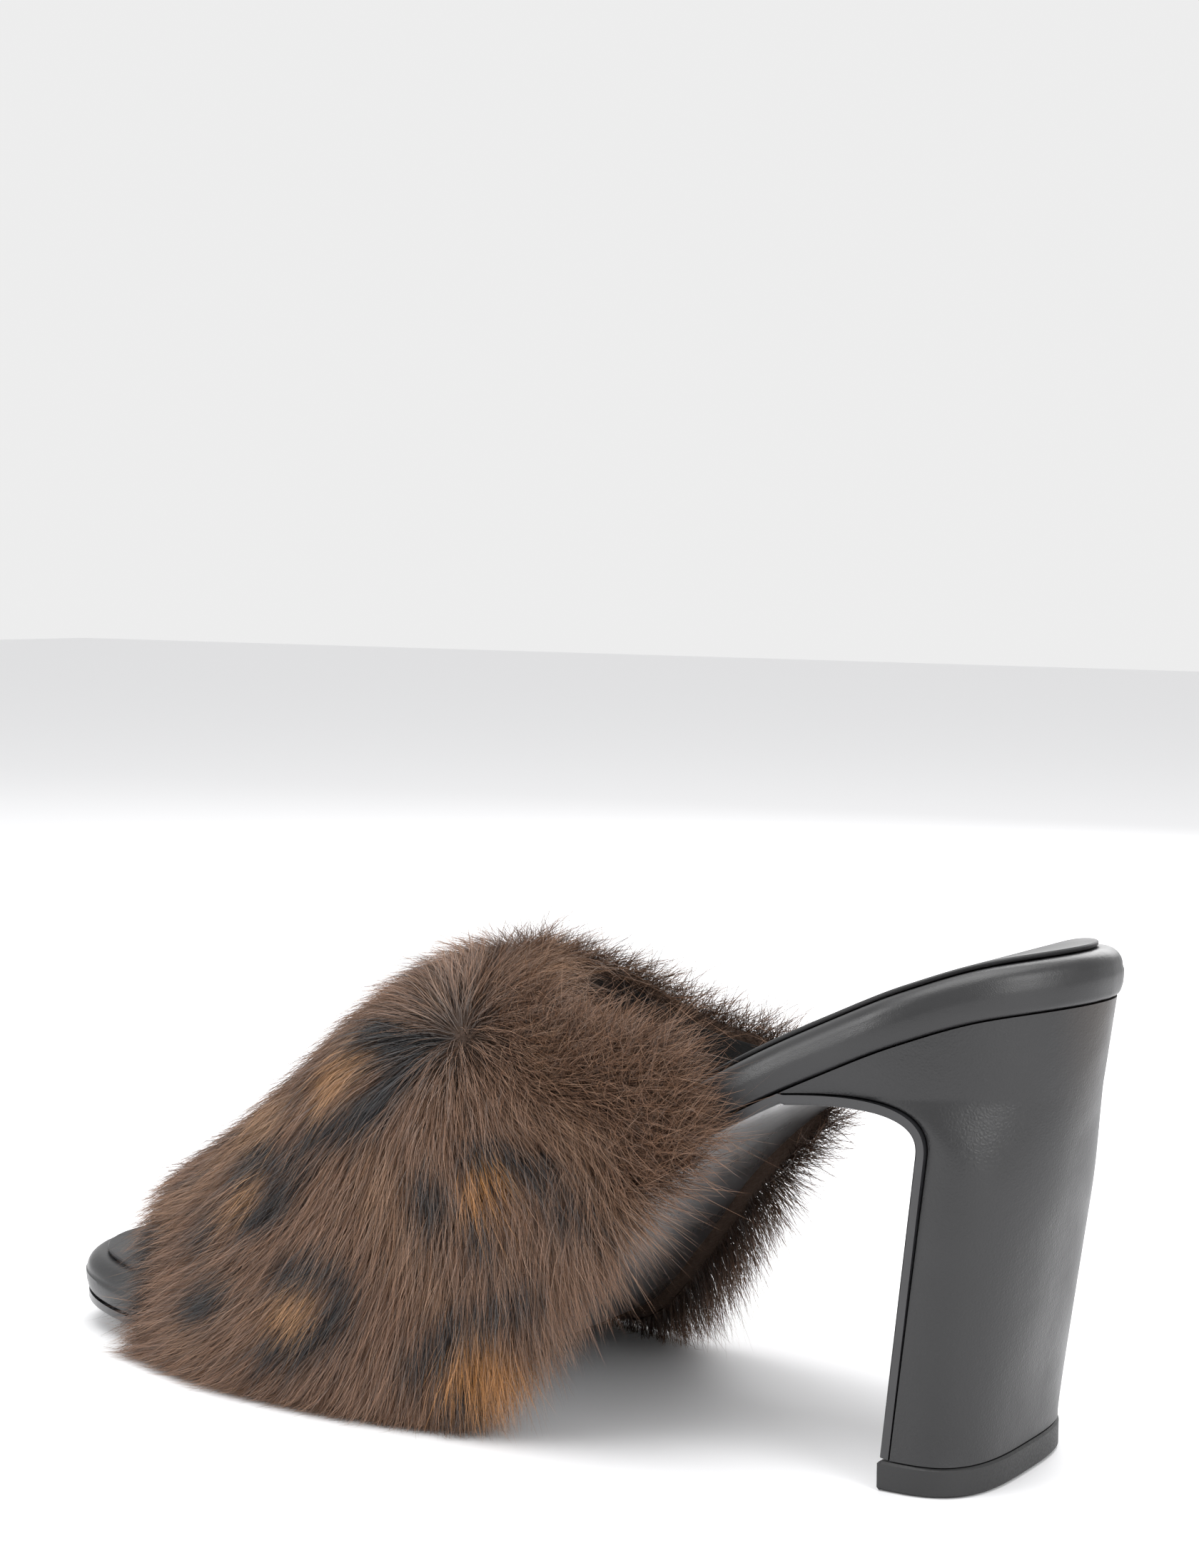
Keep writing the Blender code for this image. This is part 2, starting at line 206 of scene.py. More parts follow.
def ringFaces(rows, count, wrap=True):
    faces = []
    for row in range(rows - 1):
        for k in range(count if wrap else count - 1):
            after = (k + 1) % count
            low, high = row * count, (row + 1) * count
            faces.append((low + k, low + after, high + after, high + k))
    return faces


def toSpine(loop, steps):
    # loops that shrink to the middle line, which closes an end
    mirrored = loop[(-np.arange(len(loop))) % len(loop)]
    spine = (loop + mirrored) / 2
    return [loop + (spine - loop) * k / steps for k in range(1, steps + 1)]


def closedStack(name, loops, finish, steps=8, **options):
    loops = toSpine(loops[0], steps)[::-1] + list(loops) + toSpine(loops[-1], steps)
    points = np.concatenate(loops)
    return addMesh(name, points, ringFaces(len(loops), len(loops[0])), finish, **options)


# Materials
def addNode(tree, kind, inputs=None, **settings):
    node = tree.nodes.new(kind)
    for name, value in settings.items():
        setattr(node, name, value)
    for socket, value in (inputs or {}).items():
        if isinstance(value, bpy.types.NodeSocket):
            tree.links.new(value, node.inputs[socket])
        else:
            node.inputs[socket].default_value = value
    return node


def newMaterial(name, **shading):
    made = bpy.data.materials.new(name)
    made.use_nodes = True
    tree = made.node_tree
    shader = tree.nodes["Principled BSDF"]
    for socket, value in shading.items():
        shader.inputs[socket].default_value = value
    return made, tree, shader


def link(tree, output, shader, socket):
    tree.links.new(output, shader.inputs[socket])


def colour(red, green, blue):
    return (red, green, blue, 1.0)


def blend(tree, factor, first, second):
    node = addNode(tree, "ShaderNodeMix", data_type="RGBA")
    for socket, value in ((0, factor), (6, first), (7, second)):
        if isinstance(value, bpy.types.NodeSocket):
            tree.links.new(value, node.inputs[socket])
        else:
            node.inputs[socket].default_value = value
    return node.outputs[2]


def remap(tree, value, low, high, toLow=0.0, toHigh=1.0):
    node = addNode(tree, "ShaderNodeMapRange", {0: value, 1: low, 2: high, 3: toLow, 4: toHigh})
    node.interpolation_type = "SMOOTHSTEP"
    return node.outputs[0]


def objectPlace(tree):
    return addNode(tree, "ShaderNodeTexCoord").outputs["Object"]


def attribute(tree, name, output):
    return addNode(tree, "ShaderNodeAttribute", attribute_name=name).outputs[output]


def noise(tree, place, scale, detail):
    inputs = {"Vector": place, "Scale": scale, "Detail": detail}
    return addNode(tree, "ShaderNodeTexNoise", inputs).outputs["Fac"]


def combine(tree, operation, first, second):
    return addNode(tree, "ShaderNodeMath", {0: first, 1: second}, operation=operation).outputs[0]


def addBump(tree, shader, strength, depth, height):
    inputs = {"Strength": strength, "Distance": depth, "Height": height}
    link(tree, addNode(tree, "ShaderNodeBump", inputs).outputs[0], shader, "Normal")


leather = {
    "colour": colour(0.0085, 0.0085, 0.0092),
    "patches": colour(0.013, 0.013, 0.014),
    # brown of a painted highlight on the heel's rear
    "paintedRearHighlight": colour(0.030, 0.018, 0.010),
    "paintedRearHighlightLength": 0.010,
    "coat": 0.12,
    "coatRoughness": 0.28,
    "glossier": 0.06,
    "duller": 0.07,
    "creaseScale": 0.35,  # beside the grain's
    "patchScale": 60.0,
    "cellHeight": 0.9,
    "bump": 0.55,
}


def leatherMaterial(name, roughness, grain, depth, paintedRearHighlightFrom=None):
    made, tree, shader = newMaterial(name)
    shader.inputs["Coat Weight"].default_value = leather["coat"]
    shader.inputs["Coat Roughness"].default_value = leather["coatRoughness"]
    place = objectPlace(tree)
    inputs = {"Vector": place, "Scale": grain}
    cells = addNode(tree, "ShaderNodeTexVoronoi", inputs, feature="DISTANCE_TO_EDGE")
    creases = noise(tree, place, grain * leather["creaseScale"], 4.0)
    patches = noise(tree, place, leather["patchScale"], 3.0)
    height = combine(tree, "MULTIPLY", cells.outputs["Distance"], leather["cellHeight"])
    addBump(tree, shader, leather["bump"], depth, combine(tree, "ADD", height, creases))
    glossy, dull = roughness - leather["glossier"], roughness + leather["duller"]
    link(tree, remap(tree, patches, 0.3, 0.7, glossy, dull), shader, "Roughness")
    base = blend(tree, remap(tree, patches, 0.35, 0.75), leather["colour"], leather["patches"])
    # painted highlight: blends the leather towards brown at the rear (+Y)
    if paintedRearHighlightFrom is not None:
        parts = addNode(tree, "ShaderNodeSeparateXYZ", {0: place})
        rear = remap(tree, parts.outputs["Y"], paintedRearHighlightFrom, paintedRearHighlightFrom + leather["paintedRearHighlightLength"])
        base = blend(tree, rear, base, leather["paintedRearHighlight"])
    link(tree, base, shader, "Base Color")
    return made


soleFinish = {
    "dark": colour(0.012, 0.012, 0.013),
    "pale": colour(0.018, 0.018, 0.020),
    "coat": 0.35,
    "coatRoughness": 0.16,
    "roughness": (0.26, 0.36),
    "hazeScale": 90.0,
    "gritScale": 1900.0,
    "gritDepth": 0.00006,
    "bump": 0.15,
}


def soleMaterial():
    made, tree, shader = newMaterial("smoothSole", Roughness=0.30)
    shader.inputs["Coat Weight"].default_value = soleFinish["coat"]
    shader.inputs["Coat Roughness"].default_value = soleFinish["coatRoughness"]
    place = objectPlace(tree)
    haze = noise(tree, place, soleFinish["hazeScale"], 4.0)
    grit = noise(tree, place, soleFinish["gritScale"], 2.0)
    addBump(tree, shader, soleFinish["bump"], soleFinish["gritDepth"], grit)
    link(tree, remap(tree, haze, 0.3, 0.7, *soleFinish["roughness"]), shader, "Roughness")
    base = blend(tree, remap(tree, haze, 0.3, 0.7), soleFinish["dark"], soleFinish["pale"])
    link(tree, base, shader, "Base Color")
    return made


rubberFinish = {
    "dark": colour(0.010, 0.010, 0.010),
    "pale": colour(0.020, 0.020, 0.021),
    "roughness": (0.44, 0.60),
    "gritScale": 2400.0,
    "gritDepth": 0.00008,
    "bump": 0.3,
}


def rubberMaterial():
    made, tree, shader = newMaterial("heelRubber", Roughness=0.5)
    grit = noise(tree, objectPlace(tree), rubberFinish["gritScale"], 3.0)
    addBump(tree, shader, rubberFinish["bump"], rubberFinish["gritDepth"], grit)
    link(tree, remap(tree, grit, 0.3, 0.7, *rubberFinish["roughness"]), shader, "Roughness")
    link(tree, blend(tree, grit, rubberFinish["dark"], rubberFinish["pale"]), shader, "Base Color")
    return made


liningFinish = {
    "dark": colour(0.004, 0.004, 0.004),
    "pale": colour(0.010, 0.009, 0.009),
    "sheen": 0.25,
    "sheenRoughness": 0.5,
    "napScale": 1400.0,
    "napDepth": 0.0002,
    "bump": 0.6,
}


def liningMaterial():
    made, tree, shader = newMaterial("suedeLining", Roughness=0.9)
    shader.inputs["Sheen Weight"].default_value = liningFinish["sheen"]
    shader.inputs["Sheen Roughness"].default_value = liningFinish["sheenRoughness"]
    nap = noise(tree, objectPlace(tree), liningFinish["napScale"], 4.0)
    addBump(tree, shader, liningFinish["bump"], liningFinish["napDepth"], nap)
    link(tree, blend(tree, nap, liningFinish["dark"], liningFinish["pale"]), shader, "Base Color")
    return made


underfurFinish = {
    "shadow": colour(0.006, 0.004, 0.003),
    "shadowShare": 0.75,
    "tuftScale": 1100.0,
    "tuftDepth": 0.0008,
}


def underfurMaterial():
    made, tree, shader = newMaterial("underfur", Roughness=0.95)
    tufts = noise(tree, objectPlace(tree), underfurFinish["tuftScale"], 3.0)
    addBump(tree, shader, 1.0, underfurFinish["tuftDepth"], tufts)
    tint = attribute(tree, "furTint", "Color")
    dark = blend(tree, underfurFinish["shadowShare"], tint, underfurFinish["shadow"])
    link(tree, dark, shader, "Base Color")
    return made


hairFinish = {
    "roughness": 0.42,
    "specular": 0.55,
    "rootToTip": (0.30, 1.25),
    "hairToHair": (0.62, 1.42),
    # colour of a painted highlight on the tips of a few hairs
    "paintedTipHighlight": colour(0.36, 0.27, 0.19),
    "paintedTipHighlightShare": 0.40,
    "paintedTipHighlightFrom": 0.86,  # hairs with a chance above this get a painted highlight near the tip
}


def hairMaterial():
    # roots are dark, tips are lighter, and each hair has its own shade
    made, tree, shader = newMaterial("furHair", Roughness=hairFinish["roughness"])
    shader.inputs["Specular IOR Level"].default_value = hairFinish["specular"]
    tint = attribute(tree, "furTint", "Color")
    along = attribute(tree, "hairAlong", "Fac")
    chance = attribute(tree, "hairChance", "Fac")
    rootToTip = remap(tree, along, 0.1, 0.95, *hairFinish["rootToTip"])
    hairToHair = remap(tree, chance, 0.0, 1.0, *hairFinish["hairToHair"])
    shade = combine(tree, "MULTIPLY", rootToTip, hairToHair)
    lit = addNode(tree, "ShaderNodeVectorMath", {0: tint, "Scale": shade}, operation="SCALE")
    # painted highlight: a few hairs turn paler towards the tip
    highlightedHair = remap(tree, chance, hairFinish["paintedTipHighlightFrom"], 1.0)
    highlightedTip = remap(tree, along, 0.35, 1.0, 0.0, hairFinish["paintedTipHighlightShare"])
    paintedTipHighlightMask = combine(tree, "MULTIPLY", highlightedHair, highlightedTip)
    link(tree, blend(tree, paintedTipHighlightMask, lit.outputs[0], hairFinish["paintedTipHighlight"]), shader, "Base Color")
    return made


blackLeather = leatherMaterial("wrapLeather", 0.37, 2600, 0.00007)
# the heel's leather gets the painted brown highlight at its rear
heelLeather = leatherMaterial("heelLeather", 0.42, 1500, 0.00016, paintedRearHighlightFrom=0.0165)
sockLeather = leatherMaterial("sockLeather", 0.46, 2200, 0.00008)
smoothSole = soleMaterial()
heelRubber = rubberMaterial()
suedeLining = liningMaterial()
underfur = underfurMaterial()
furHair = hairMaterial()
print("materials made")

# Footbed: padded board in a leather wrap
footbed = {
    "thick": 0.0088,
    "toeThick": 0.0076,
    "roll": 0.0036,
    "lowerRound": 0.0014,
    "bulge": 0.00025,
    "dent": 0.00016,
    "dentLengths": (0.021, 0.013, 0.034, 0.0085),
    "lowerSteps": 5,
    "sideShares": (0.25, 0.4, 0.5),
    "rollSteps": 9,
}


def thickness(y):
    return footbed["thick"] + (footbed["toeThick"] - footbed["thick"]) * np.clip(shareAt(y), 0, 1) ** 3


def ripple(points, lengths, seed):
    # soft unevenness from a few waves
    chance = np.random.default_rng(seed)
    total = np.zeros(len(points))
    for length in lengths:
        direction = chance.normal(size=3)
        direction /= np.linalg.norm(direction)
        total += np.sin(points @ direction * 2 * math.pi / length + chance.uniform(0, 6.28))
    return total / len(lengths)


def makeFootbed():
    loops = []
    radius = footbed["lowerRound"]
    for turn in np.linspace(0, math.pi / 2, footbed["lowerSteps"]):
        inset, lift = radius * (1 - math.sin(turn)), radius * (1 - math.cos(turn))
        plan = footprint(inset)
        loops.append(np.column_stack([plan, underside(plan[:, 1]) + lift]))
    for share in footbed["sideShares"]:
        plan = footprint(-footbed["bulge"] * math.sin(math.pi * share))
        loops.append(np.column_stack([plan, underside(plan[:, 1]) + thickness(plan[:, 1]) * share]))
    for turn in np.linspace(0, math.pi / 2, footbed["rollSteps"]):
        inset = footbed["roll"] * (1 - math.cos(turn))
        drop = footbed["roll"] * (1 - math.sin(turn))
        plan = footprint(inset)
        loops.append(np.column_stack([plan, underside(plan[:, 1]) + thickness(plan[:, 1]) - drop]))
    for loop in loops[footbed["lowerSteps"] - 1 : -1]:
        outward = insetLoop(loop[:, :2], -1.0) - loop[:, :2]
        wave = ripple(loop, footbed["dentLengths"], seed=4)
        loop[:, :2] += outward * (wave * footbed["dent"])[:, None]
    return closedStack("footbedWrap", loops, blackLeather)


footbedWrap = makeFootbed()

# Insole: thin sock with a rounded edge
insole = {
    "thick": 0.0009,
    "margin": 0.0042,
    "edge": 0.0005,
    # inset as a share of the edge, height as a share of the thickness
    "profile": ((0.3, 0.0), (0.0, 0.25), (0.0, 0.7), (0.4, 0.95), (1.0, 1.0)),
}


def makeInsole():
    def level(y):
        return underside(y) + thickness(y) + last["clearance"]

    loops = []
    for inset, lift in insole["profile"]:
        plan = footprint(insole["margin"] + inset * insole["edge"])
        loops.append(np.column_stack([plan, level(plan[:, 1]) + lift * insole["thick"]]))
    return closedStack("insoleSock", loops, sockLeather)


insoleSock = makeInsole()
print("footbed and insole made")


# Heel block with its wedge, and the outsole that runs down its breast
def breastProfile(steps):
    footY = heelTip["overhang"] + outsole["thick"] - heelTip["depth"] / 2
    foot = np.array([footY, heelTip["thick"] + last["clearance"]])
    rear = np.array([foot[0] + heel["breastLean"], heel["breastHeight"]])
    wedgeY = rear[0] - heel["wedgeLength"]
    wedge = np.array([wedgeY, underside(wedgeY) - last["clearance"]])
    lean = (rear - foot) / np.linalg.norm(rear - foot)
    line = [foot + (rear - foot) * t for t in np.linspace(0, 1, steps // 2, endpoint=False)]
    nearWedge = wedge + [heel["wedgeLength"] / 2, heel["wedgeSlim"]]
    bend = [rear, rear + lean * heel["breastBend"], nearWedge, wedge]
    for t in np.linspace(0, 1, steps - steps // 2 + 1):
        weights = [(1 - t) ** 3, 3 * t * (1 - t) ** 2, 3 * t**2 * (1 - t), t**3]
        line.append(sum(w * p for w, p in zip(weights, bend)))
    return np.array(line)


def heelLoop(breast, seat):
    # seat goes from 0 at the heel's foot to 1 under the footbed
    reach = heel["setback"] + heelTip["overhang"] - heel["inset"]
    back = heelTip["depth"] / 2 - heelTip["overhang"] + reach * seat
    depth = back - breast[0]
    roundLength = min(depth, heelTip["depth"] + (last["heelRound"] - heelTip["depth"]) * seat)
    power = heelTip["power"] + (last["heelPower"] - heelTip["power"]) * seat ** heel["powerFade"]
    turn = np.linspace(0, math.pi / 2, heel["columns"])
    y = back - depth * (1 - np.cos(turn))
    curve = superellipse((roundLength - (back - y)) / roundLength, power)
    tipHalf = heelTip["width"] / 2 - heelTip["overhang"]
    sides = []
    for column, sign in ((2, 1), (3, -1)):
        topHalf = sideWidth(y, column) - heel["inset"]
        sides.append(sign * (tipHalf + (topHalf - tipHalf) * seat) * curve)
    footHeight = heelTip["thick"] + last["clearance"]
    backHeight = underside(yAt(0)) - last["clearance"]
    backLine = footHeight + (backHeight - footHeight) * seat
    plane = breast[1] + (backLine - breast[1]) * (y - breast[0]) / depth
    seatLine = underside(y) - last["clearance"]
    chord = seatLine[-1] + (seatLine[0] - seatLine[-1]) * (y - breast[0]) / depth
    height = plane + (seatLine - chord) * seat ** heel["seatFade"]
    lateral = np.column_stack([sides[0], y, height])
    medial = np.column_stack([sides[1], y, height])
    return np.concatenate([lateral, medial[:0:-1]])


def makeHeel():
    profile = breastProfile(heel["rows"])
    seats = np.linspace(0, 1, len(profile))
    loops = [heelLoop(breast, seat) for breast, seat in zip(profile, seats)]
    return closedStack("heelCover", loops, heelLeather, steps=6)


def makeOutsole():
    profile = breastProfile(heel["rows"])
    wedgeShare = shareAt(profile[-1, 0])
    shares = np.linspace(1 - outsole["inset"] / last["length"], wedgeShare, outsole["steps"])
    closer = np.linspace(0, 1, outsole["toeSteps"])[:-1] ** 2 * outsole["toeShare"]
    shares = np.unique(np.concatenate([shares, shares[0] - closer]))[::-1]
    y = yAt(shares)
    path = np.column_stack([y, underside(y) - last["clearance"]])
    widths = np.column_stack([halfWidth(y, True), halfWidth(y, False)]) - outsole["inset"]
    tipHalf = heelTip["width"] / 2 - heelTip["overhang"]
    fall = np.linspace(1, 0, len(profile))[1:, None]
    path = np.concatenate([path, profile[::-1][1:]])
    widths = np.concatenate([widths, tipHalf + (widths[-1] - tipHalf) * fall])
    along = np.gradient(path, axis=0)
    along /= np.linalg.norm(along, axis=1)[:, None]
    down = np.column_stack([along[:, 1], -along[:, 0]])
    gap = np.where(np.arange(len(path)) >= len(shares), last["clearance"], 0.0)[:, None]
    top = path + down * gap
    radius = outsole["edgeRound"]
    rounding = []
    for turn in np.linspace(0, math.pi / 2, 5):
        inset, rise = radius * (1 - math.cos(turn)), radius * (1 - math.sin(turn))
        rounding.append((inset, outsole["thick"] - rise))
    loops = []
    for k, (lateral, medial) in enumerate(widths):
        section = [(lateral, 0.0)]
        section += [(lateral - inset, deep) for inset, deep in rounding]
        section += [(-medial + inset, deep) for inset, deep in rounding[::-1]]
        section.append((-medial, 0.0))
        loops.append([(x, *(top[k] + down[k] * deep)) for x, deep in section])
    loops = np.array(loops)
    loops[:, :, 2] = np.maximum(loops[:, :, 2], 0.0)
    count = loops.shape[1]
    faces = ringFaces(len(loops), count)
    faces += [tuple(range(count)), tuple(range((len(loops) - 1) * count, len(loops) * count))]
    return addMesh("outsoleSole", loops.reshape(-1, 3), faces, smoothSole, sharp=50)


def makeHeelTip():
    turn = np.linspace(0, math.pi / 2, heel["columns"])
    deep = heelTip["depth"] * (1 - np.cos(turn))
    share = (heelTip["depth"] - deep) / heelTip["depth"]
    half = heelTip["width"] / 2 * superellipse(share, heelTip["power"])
    y = heelTip["depth"] / 2 - deep
    plan = np.concatenate([np.stack([half, y], 1), np.stack([-half, y], 1)[:0:-1]])
    loops = []
    low, high, thick = heelTip["lowerRound"], heelTip["upperRound"], heelTip["thick"]
    for inset, z in ((low, 0.0), (0.0, low), (0.0, thick - high), (high, thick)):
        ring = insetLoop(plan, inset)
        loops.append(np.column_stack([ring, np.full(len(ring), z)]))
    return closedStack("heelTipRubber", loops, heelRubber, steps=4, sharp=30)


heelCover = makeHeel()
outsoleSole = makeOutsole()
heelTipRubber = makeHeelTip()
print("heel, outsole and heel tip made")

# Fur band
band = {
    "archPower": 2.35,
    "ridgeShift": 0.070,
    "sideGap": 1.2,  # beside the footbed, in clearances
    "lining": 0.0005,
    "liningRollOut": 0.0006,
    "liningRows": 160,
    "skin": 0.0058,
    "innerGap": 0.0006,
    "rollOut": 0.0026,
    "hang": 0.0040,
    "floorGap": 0.0030,
    "footSpan": 0.16,  # turn over which the band hangs at its feet
    "footPower": 1.5,
    "edgeAngles": (-60, -30, 0, 30, 60),
    "hemAngles": (90, 67, 45, 22),
    "bareAngle": -1.1,  # radians, no hair on the edges under this and all of it over the next
    "coveredAngle": -0.2,
    "columns": 150,
    "rows": 84,
}
# along, height of the lining's top line
vamp = np.array([
    (0.284, 1.240),
    (0.386, 1.120),
    (0.470, 1.050),
    (0.546, 1.000),
    (0.608, 0.955),
    (0.661, 0.872),
    (0.708, 0.752),
    (0.784, 0.560),
    (0.833, 0.450),
    (0.900, 0.325),
])
# turn over the instep, collar edge, toe edge
bandEdges = np.array([
    (0.00, 0.290, 0.826),
    (0.10, 0.314, 0.830),
    (0.22, 0.400, 0.842),
    (0.35, 0.490, 0.868),
    (0.50, 0.540, 0.892),
    (0.64, 0.495, 0.896),
    (0.78, 0.425, 0.886),
    (0.90, 0.358, 0.870),
    (1.00, 0.326, 0.862),
])


def liningPoint(turn, across):
    # across goes from 0 at the toe edge to 1 at the collar
    collar = throughPoints(bandEdges[:, 0], bandEdges[:, 1], turn)
    toe = throughPoints(bandEdges[:, 0], bandEdges[:, 2], turn)
    share = toe + (collar - toe) * across
    y = yAt(share)
    foot = underside(y)
    crest = tread + last["instepRise"] * throughPoints(vamp[:, 0], vamp[:, 1], share)
    run, climb = np.cos(math.pi * turn), np.clip(np.sin(math.pi * turn), 0, 1)
    reach = halfWidth(y, run > 0) + band["sideGap"] * last["clearance"]
    up = climb ** (2 / band["archPower"])
    x = np.sign(run) * reach * np.abs(run) ** (2 / band["archPower"])
    x = x - band["ridgeShift"] * last["ballWidth"] * up**3
    return np.stack([x, y, foot + (crest - foot) * up], -1)


def unit(vectors):
    return vectors / np.maximum(np.linalg.norm(vectors, axis=-1, keepdims=True), 1e-9)


def liningFrame(turn, across):
    # point, outward normal, direction to the collar and direction of growing turn
    small = 1e-4
    point = liningPoint(turn, across)
    ahead, behind = np.minimum(turn + small, 1), np.maximum(turn - small, 0)
    over = liningPoint(ahead, across) - liningPoint(behind, across)
    back = liningPoint(turn, across + small) - liningPoint(turn, across - small)
    normal = unit(np.cross(back, over))
    middle = point * [0, 1, 1] - [0, 0, 0.01]
    facing = np.sign(np.sum(normal * (point - middle), -1, keepdims=True))
    return point, normal * facing, unit(back), unit(over)


def bandSection(inner, outer, rollOut, rows):
    # across, reach past the edge, height over the lining, and how much hair grows there
    middle, half = (inner + outer) / 2, (outer - inner) / 2
    rounding = []
    for angle in np.radians(band["edgeAngles"]):
        grown = easeBetween(band["bareAngle"], band["coveredAngle"], angle)
        rounding.append((rollOut * math.cos(angle), middle + half * math.sin(angle), grown))
    section = [(share, 0.0, inner, 0.0) for share in np.linspace(0, 1, rows // 4)]
    section += [(1.0, reach, height, grown) for reach, height, grown in rounding]
    section += [(share, 0.0, outer, 1.0) for share in np.linspace(1, 0, rows)]
    section += [(0.0, -reach, height, grown) for reach, height, grown in rounding[::-1]]
    return np.array(section)


def bandShape(section, columns, hang):
    # loops over the instep, with a rounded hem at both feet
    hemAngles = np.radians(band["hemAngles"])
    half = (section[:, 2].max() - section[:, 2].min()) / 2
    middle = section[:, 2].min() + half
    rows = [(0.0, angle) for angle in hemAngles]
    rows += [(turn, 0.0) for turn in np.linspace(0, 1, columns + 1)]
    rows += [(1.0, angle) for angle in hemAngles[::-1]]
    turns = np.array([turn for turn, angle in rows])[:, None] * np.ones(len(section))
    angles = np.array([angle for turn, angle in rows])[:, None]
    across = np.ones(len(rows))[:, None] * section[:, 0]
    point, normal, back, over = liningFrame(turns, across)
    out = middle + (section[:, 2] - middle) * np.cos(angles)
    nearFoot = np.maximum(0, 1 - np.minimum(turns, 1 - turns) / band["footSpan"])
    foot = nearFoot ** band["footPower"]
    spots = point + normal * out[..., None] + back * section[:, 1][None, :, None]
    spots[..., 2] -= hang * foot * out / section[:, 2].max() + half * np.sin(angles)
    return spots, normal, back, over, turns, across


def makeLining():
    section = bandSection(0.0, band["lining"], band["liningRollOut"], band["liningRows"])
    spots = bandShape(section, band["columns"], 0.0)[0]
    faces = ringFaces(len(spots), spots.shape[1])
    return addMesh("suedeLining", spots.reshape(-1, 3), faces, suedeLining)


# Colours, marks and comb of the fur
fur = {
    "brown": (0.150, 0.080, 0.047),
    "fawn": (0.250, 0.145, 0.080),
    "black": (0.010, 0.010, 0.012),
    "tan": (0.300, 0.160, 0.072),
    "amber": (0.330, 0.145, 0.038),
    "length": 0.0130,
    "width": 0.000125,
    "crownTurn": 0.31,
    "crownAcross": 0.79,
    "crownReach": 0.020,
    "tipReach": 0.0055,
    "tipRise": 0.003,
    "markHeight": 0.0085,  # over the lining
    "markDrop": 0.17,  # metres for a whole turn past the hem
    "markPast": 0.10,  # metres for a whole band past an edge
    "shadeWaves": (0.031, 0.019, 0.047, 0.026),
    "shadeDepth": 0.45,
    "edgeWaves": (0.0061, 0.0083, 0.0047, 0.0112),
    "edgeWobble": 0.0009,
    "shorterFuzz": 0.22,
    "shorterToe": 0.12,
}
comb = {
    "ridgeSpan": 0.16,  # turn over which both sides meet on the ridge
    "footSpan": 0.2,
    "toeAngle": 12,
    "rearAngle": 76,
    "footAngle": 14,
    "rearFrom": 0.12,
    "rearTo": 0.80,
    "ridgePull": 0.8,
    "collarFrom": 0.84,
}
# half the mark's width in metres, and points (turn, across) along it
blackMarks = [
    (0.0036, [(0.32, 0.60), (0.28, 0.65), (0.25, 0.63), (0.22, 0.57), (0.21, 0.50), (0.21, 0.44)]),
    (0.0017, [(0.31, 0.46), (0.29, 0.44), (0.27, 0.41)]),
    (0.0032, [(0.22, 0.30), (0.19, 0.37), (0.16, 0.38), (0.15, 0.34), (0.14, 0.28)]),
    (0.0015, [(0.22, 0.27), (0.20, 0.24)]),
    (0.0030, [(0.17, 0.18), (0.13, 0.17)]),
    (0.0034, [(0.16, -0.02), (0.11, -0.04), (0.05, -0.05)]),
    (0.0037, [(0.06, 0.15), (0.08, 0.22)]),
    (0.0028, [
        (0.09, 0.36), (0.09, 0.43), (0.08, 0.47), (0.06, 0.46), (0.05, 0.44), (0.03, 0.38), (0.03, 0.31),
    ]),
    (0.0014, [(0.26, 0.07), (0.25, 0.14)]),
    (0.0016, [(0.31, 0.20), (0.30, 0.23)]),
    (0.0028, [(0.15, 0.62), (0.13, 0.62), (0.12, 0.63)]),
    (0.0023, [(0.16, 0.72), (0.14, 0.76), (0.10, 0.79), (0.07, 0.82)]),
    (0.0026, [(0.08, 0.70), (0.07, 0.72)]),
    (0.0025, [(0.03, 0.82), (0.00, 0.85), (0.00, 0.86)]),
    (0.0022, [(0.02, 0.69), (-0.01, 0.76), (-0.01, 0.78)]),
    (0.0026, [(0.02, 0.56), (0.02, 0.60), (0.03, 0.63), (0.03, 0.67)]),
    (0.0020, [(-0.04, 0.62), (-0.04, 0.66)]),
    (0.0034, [(0.44, 0.93), (0.47, 0.90), (0.51, 0.92)]),
    (0.0030, [(0.58, 0.98), (0.62, 0.94), (0.66, 0.97)]),
    (0.0030, [(0.42, 0.42), (0.46, 0.48), (0.51, 0.46), (0.53, 0.38)]),
    (0.0024, [(0.46, 0.30), (0.49, 0.25)]),
    (0.0028, [(0.45, 0.70), (0.50, 0.73), (0.55, 0.70)]),
    (0.0026, [(0.40, 0.10), (0.44, 0.06)]),
    (0.0030, [(0.56, 0.12), (0.60, 0.18)]),
    (0.0032, [(0.63, 0.32), (0.67, 0.38), (0.71, 0.35), (0.72, 0.28)]),
    (0.0030, [(0.64, 0.60), (0.68, 0.66), (0.73, 0.64), (0.75, 0.57)]),
    (0.0024, [(0.70, 0.10), (0.75, 0.12)]),
    (0.0032, [(0.82, 0.22), (0.86, 0.28), (0.90, 0.26)]),
    (0.0030, [(0.80, 0.42), (0.84, 0.48), (0.88, 0.46), (0.89, 0.39)]),
    (0.0026, [(0.78, 0.78), (0.82, 0.82)]),
    (0.0030, [(0.88, 0.64), (0.92, 0.68), (0.95, 0.64)]),
    (0.0026, [(0.93, 0.86), (0.97, 0.88)]),
    (0.0028, [(0.96, 0.08), (0.92, 0.10)]),
    (0.0024, [(0.98, 0.46), (0.96, 0.52)]),
]
